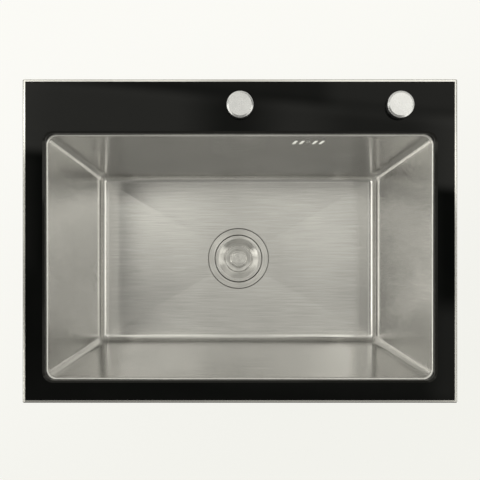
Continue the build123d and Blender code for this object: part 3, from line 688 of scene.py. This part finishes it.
def makeFunnel():
    look, rib = funnelLook, funnelLook["rib"]
    wall, bore, root, collar = look["wall"], look["bore"], look["root"], look["collar"]
    size = extent("drain_funnel")
    tailTop = size.low + look["tail"]
    threadLow, threadHigh = size.low + look["lead"], tailTop - look["runOut"]
    work = bmesh.new()
    turnOutline(work, [
        (bore, size.low), (bore, size.high - look["cone"]), (size.radius - wall, size.high),
        (size.radius, size.high), (size.radius, size.high - wall, look["rimRound"]),
        (collar, tailTop + wall, look["collarRound"]), (collar, tailTop, look["collarFootRound"]),
        (root, tailTop), (root, threadHigh)], size.centre, look["sides"])
    turnThread(work, look, threadLow, threadHigh, size.centre)
    turnOutline(work, [
        (root, threadLow), (root - look["chamfer"], size.low), (bore, size.low)],
        size.centre, look["sides"])
    slope = look["cone"] / (size.radius - collar)
    outline = [
        Vector((collar - rib["sink"], tailTop + rib["lift"])),
        Vector((collar + rib["reach"], tailTop + wall + rib["reach"] * slope + rib["tipLift"])),
        Vector((collar - rib["sink"], tailTop + wall + rib["lift"]))]
    for i in range(rib["count"]):
        place = onUpright(size.centre, 2 * pi * (i + 0.5) / rib["count"])
        addPrism(work, outline, place, rib["thick"])
    makePiece("outlet_funnel", work, "root", slotOf["drain_funnel"], "drain_funnel")


makeFunnel()
print("drain outlet made")


# Drain as it is seen from above: the seal's squeezed edge, the dished cover and its knob

sealLook = {
    "bore": 46.3, "foot": 56.2, "footRound": 0.3, "squeeze": 0.4, "squeezeRound": 0.35,
    "shoulder": 55.4, "shoulderRound": 0.25, "rise": 0.45, "edgeDrop": 0.2, "gap": 0.04,
    "sides": 160}


def makeSeal():
    look, bore, foot = sealLook, sealLook["bore"], sealLook["foot"]
    size = extent("drain_upper_seal")
    edge = extent("drain_flange").radius + look["gap"]
    crest = size.high + look["rise"]
    work = bmesh.new()
    turnOutline(work, [
        (bore, size.low), (foot, size.low, look["footRound"]),
        (foot, crest - look["squeeze"], look["squeezeRound"]),
        (look["shoulder"], crest, look["shoulderRound"]), (edge, crest - look["edgeDrop"]),
        (edge, size.high), (bore, size.high), (bore, size.low)], size.centre, look["sides"])
    makePiece("pressed_seal", work, "root", slotOf["drain_upper_seal"], "drain_upper_seal")


# underShift moves the corners of the plate's underside, from the bore out, to keep its thickness
coverLook = {
    "sheet": 1.0, "edge": 0.5, "edgeRound": 0.45, "land": 36.8, "bend": 1.2, "valley": 25.4,
    "depth": 5.9, "valleyRound": 0.9, "boss": 23.6, "bossDrop": 1.5, "bossRound": 0.7,
    "hollow": 15.6, "hollowDrop": 1.2, "hollowRound": 0.5, "pad": 13.4, "padRound": 0.5,
    "bore": 4.3, "underShift": (0, 0, -0.4, -0.4, 0.4, -0.3, 0), "sides": 160, "sharp": 50}


def makeCover():
    look = coverLook
    size = extent("strainer_cover")
    boss = size.high - look["bossDrop"]
    top = [
        (size.radius, size.high, look["edgeRound"]), (look["land"], size.high, look["bend"]),
        (look["valley"], size.high - look["depth"], look["valleyRound"]),
        (look["boss"], boss, look["bossRound"]),
        (look["hollow"], boss - look["hollowDrop"], look["hollowRound"]),
        (look["pad"], boss, look["padRound"]), (look["bore"], boss)]
    under = [(r + shift, h - look["sheet"], *more)
             for (r, h, *more), shift in zip(top[::-1], look["underShift"])]
    work = bmesh.new()
    turnOutline(work, top + under + [(size.radius, size.high - look["edge"])],
                size.centre, look["sides"])
    makePiece("dished_cover", work, "basket", slotOf["strainer_cover"], "strainer_cover",
              sharp=look["sharp"])


knobLook = {
    "dimple": 1.8, "dimpleDepth": 0.5, "dimpleRound": 0.3, "groove": 11.6, "grooveRound": 0.15,
    "grooveLine": ((-0.9, 0), (-0.45, 0.35), (0.45, 0.35), (0.9, 0)),  # across and down
    "edgeRound": 1.0, "rim": 3.0, "rimRound": 0.4, "waist": 11.0, "waistRound": 0.6,
    "footRound": 0.3, "stem": 4.0, "socket": 6.0, "sides": 128, "sharp": 50}


def makeKnob():
    look, waist, stem = knobLook, knobLook["waist"], knobLook["stem"]
    size = extent("stopper_knob")
    under, socket = size.high - look["rim"], size.low + look["socket"]
    groove = [(look["groove"] + across, size.high - down, look["grooveRound"])
              for across, down in look["grooveLine"]]
    work = bmesh.new()
    turnOutline(work, [
        (0, size.high - look["dimpleDepth"]), (look["dimple"], size.high, look["dimpleRound"]),
        *groove, (size.radius, size.high, look["edgeRound"]),
        (size.radius, under, look["rimRound"]), (waist, under, look["waistRound"]),
        (waist, size.low, look["footRound"]), (stem, size.low), (stem, socket), (0, socket)],
        size.centre, look["sides"])
    makePiece("spun_knob", work, "stopper", slotOf["stopper_knob"], "stopper_knob",
              sharp=look["sharp"])


makeSeal()
makeCover()
makeKnob()
print("drain dressed")

padEdge = {"width": 0.6, "segments": 3, "angle": 40}
for wall in ("front", "back", "left", "right"):
    soften(nodes["sound_pad_" + wall], padEdge)
print("sound pads softened")


# Floor, its glow painted a little dimmer towards the front and the right, a painted falloff of light

floorLook = {
    "size": 6.0, "bright": (1.0, 0.995, 0.955, 1), "dim": (0.92, 0.92, 0.873, 1),
    "slant": 0.5, "brightFrom": (-0.6, 0.6), "matte": (0.9, 0.9, 0.87, 1), "glow": 0.9}


def makeFloor():
    look = floorLook
    mesh = bpy.data.meshes.new("paleFloor")
    reach = look["size"] / 2
    level = cadLow.z
    corners = [(x * reach, y * reach, level) for x, y in ((-1, -1), (1, -1), (1, 1), (-1, 1))]
    mesh.from_pydata(corners, [], [(0, 1, 2, 3)])
    floor = bpy.data.objects.new("paleFloor", mesh)
    bpy.context.scene.collection.objects.link(floor)
    material = bpy.data.materials.new("paleFloor")
    material.use_nodes = True
    tree = material.node_tree
    tree.nodes.clear()
    place = put(tree, "ShaderNodeTexCoord")
    spot = put(tree, "ShaderNodeSeparateXYZ", {0: place.outputs["Object"]})
    slope = calc(tree, "SUBTRACT", spot.outputs[1],
                 calc(tree, "MULTIPLY", spot.outputs[0], look["slant"]))
    colour = blendColours(tree, step(tree, slope, *look["brightFrom"]),
                          look["dim"], look["bright"])
    matte = put(tree, "ShaderNodeBsdfDiffuse", {"Color": look["matte"]})
    glow = put(tree, "ShaderNodeEmission", {"Color": colour})
    path = put(tree, "ShaderNodeLightPath")
    seen = calc(tree, "MAXIMUM", path.outputs["Is Camera Ray"],
                calc(tree, "MAXIMUM", path.outputs["Is Glossy Ray"],
                     path.outputs["Is Transmission Ray"]))
    mix = put(tree, "ShaderNodeMixShader", {
        0: calc(tree, "MULTIPLY", seen, look["glow"]),
        1: matte.outputs[0], 2: glow.outputs[0]})
    side = put(tree, "ShaderNodeNewGeometry")
    clear = put(tree, "ShaderNodeBsdfTransparent")
    whole = put(tree, "ShaderNodeMixShader", {
        0: side.outputs["Backfacing"], 1: mix.outputs[0], 2: clear.outputs[0]})
    put(tree, "ShaderNodeOutputMaterial", {"Surface": whole.outputs[0]})
    mesh.materials.append(material)


makeFloor()
print("floor laid")


# Studio light: pale panels in a dark room, as the glass, the caps and the steel reflect them.
# u and v are the sideways and backward slopes of a direction, high and round its angles in
# degrees. The panels' front and back edges slant across the room. Most strengths come from a least
# squares fit to the photograph's brightness, made apart from this script, and a few were set by eye.

lightLook = {
    "room": 0.02, "colour": (1.0, 0.982, 0.895, 1), "backdrop": (1.0, 0.998, 0.975, 1),
    "slant": 0.092, "soft": 0.03, "lowestUp": 0.001}
overheadBand = {"v": (-0.05, 0.2)}
edgeBand = {"v": (0.2, 0.35), "soft": 0.015, "side": 0.06}  # side is the softness along u
panelBand = {"v": (0.35, 0.8)}
frontNearBand = {"v": (-0.25, -0.05)}
frontBand = {"v": (-0.6, -0.25)}
studioLights = {
    "overheadLeft": {**overheadBand, "u": (-0.2, -0.07), "strength": 0.84},
    "overhead": {**overheadBand, "u": (-0.07, 0.07), "strength": 0.69},
    "overheadRight": {**overheadBand, "u": (0.07, 0.42), "strength": 0.62},
    "nearLeft": {**overheadBand, "u": (-0.75, -0.42), "strength": 0.48},
    "farLeft": {**overheadBand, "u": (-1.5, -0.75), "strength": 1.97},
    "nearRight": {**overheadBand, "u": (0.42, 0.75), "strength": 0.08},
    "farRight": {**overheadBand, "u": (0.75, 1.5), "strength": 1.57},
    "edgeFarLeft": {**edgeBand, "u": (-1.5, -0.42), "strength": 2.07},
    "edgeLeft": {**edgeBand, "u": (-0.42, -0.07), "strength": 1.69},
    "edgeMiddle": {**edgeBand, "u": (-0.07, 0.07), "strength": 0.57},
    "edgeRight": {**edgeBand, "u": (0.07, 0.2), "strength": 1.60},
    "edgeNextRight": {**edgeBand, "u": (0.2, 0.42), "strength": 0.96},
    "edgeFarRight": {**edgeBand, "u": (0.42, 1.5), "strength": 1.97},
    "panelFarLeft": {**panelBand, "u": (-1.5, -0.6), "strength": 0.46},
    "panel": {**panelBand, "u": (-0.6, 0.2), "strength": 0.72},
    "panelRight": {**panelBand, "u": (0.2, 0.6), "strength": 1.42},
    "panelFarRight": {**panelBand, "u": (0.6, 1.5), "strength": 0.25},
    "highBack": {"u": (-1.5, 0.2), "v": (0.8, 1.6), "soft": 0.05, "strength": 0.68},
    "frontNearLeft": {**frontNearBand, "u": (-0.75, -0.07), "strength": 0.15},
    "frontNear": {**frontNearBand, "u": (-0.07, 0.42), "strength": 0.35},
    "frontSideLeft": {**frontNearBand, "u": (-1.5, -0.75), "strength": 1.26},
    "frontSideRight": {**frontNearBand, "u": (0.42, 1.5), "strength": 0.91},
    "frontLeft": {**frontBand, "u": (-1.5, -0.6), "strength": 2.66},
    "frontRight": {**frontBand, "u": (0.6, 1.5), "strength": 1.78},
    "frontFill": {"u": (-0.6, 0.6), "v": (-1.5, -0.25), "soft": 0.05, "strength": 0.27},
    "low": {"high": (2, 33), "round": (-180.1, 180.1), "soft": 2, "strength": 0.77},
}


def rangeMask(tree, value, low, high, soft):
    rise = step(tree, value, low - soft, low + soft)
    fall = invert(tree, step(tree, value, high - soft, high + soft))
    return calc(tree, "MULTIPLY", rise, fall)


def makeWorld():
    look = lightLook
    world = bpy.data.worlds.new("studio")
    bpy.context.scene.world = world
    world.use_nodes = True
    tree = world.node_tree
    tree.nodes.clear()
    place = put(tree, "ShaderNodeTexCoord")
    way = put(tree, "ShaderNodeSeparateXYZ", {0: place.outputs["Generated"]})
    x, y, z = way.outputs
    up = calc(tree, "MAXIMUM", z, look["lowestUp"])
    sideways = calc(tree, "DIVIDE", x, up)
    backward = calc(tree, "ADD", calc(tree, "DIVIDE", y, up),
                    calc(tree, "MULTIPLY", sideways, look["slant"]))
    reading = {
        "u": sideways,
        "v": backward,
        "high": calc(tree, "DEGREES", calc(tree, "ARCSINE", z)),
        "round": calc(tree, "DEGREES", calc(tree, "ARCTAN2", x, y))}
    total = look["room"]
    for name, light in studioLights.items():
        soft = light.get("soft", look["soft"])
        mask = 1.0
        for key, value in reading.items():
            if key in light:
                width = light.get("side", soft) if key == "u" else soft
                mask = calc(tree, "MULTIPLY", mask, rangeMask(tree, value, *light[key], width))
        lit = calc(tree, "MULTIPLY", mask, light["strength"])
        lit.node.label = name
        total = calc(tree, "ADD", total, lit)
    studio = put(tree, "ShaderNodeBackground", {"Color": look["colour"], "Strength": total})
    pale = put(tree, "ShaderNodeBackground", {"Color": look["backdrop"]})
    path = put(tree, "ShaderNodeLightPath")
    mix = put(tree, "ShaderNodeMixShader", {
        0: path.outputs["Is Camera Ray"], 1: studio.outputs[0], 2: pale.outputs[0]})
    put(tree, "ShaderNodeOutputWorld", {"Surface": mix.outputs[0]})


makeWorld()
print("light set")


# Camera: straight down, as the photograph was taken

cameraPlace = {
    "place": (-0.0083, -0.0316, 0.670), "lens": 35.67, "shift": (0.0125, 0.0494)}


def makeCamera():
    data = bpy.data.cameras.new("overhead")
    data.lens = cameraPlace["lens"]
    data.shift_x, data.shift_y = cameraPlace["shift"]
    camera = bpy.data.objects.new("overhead", data)
    camera.location = cameraPlace["place"]
    bpy.context.scene.collection.objects.link(camera)
    bpy.context.scene.camera = camera


makeCamera()
bpy.context.scene.view_settings.view_transform = "Standard"

print("finishing")
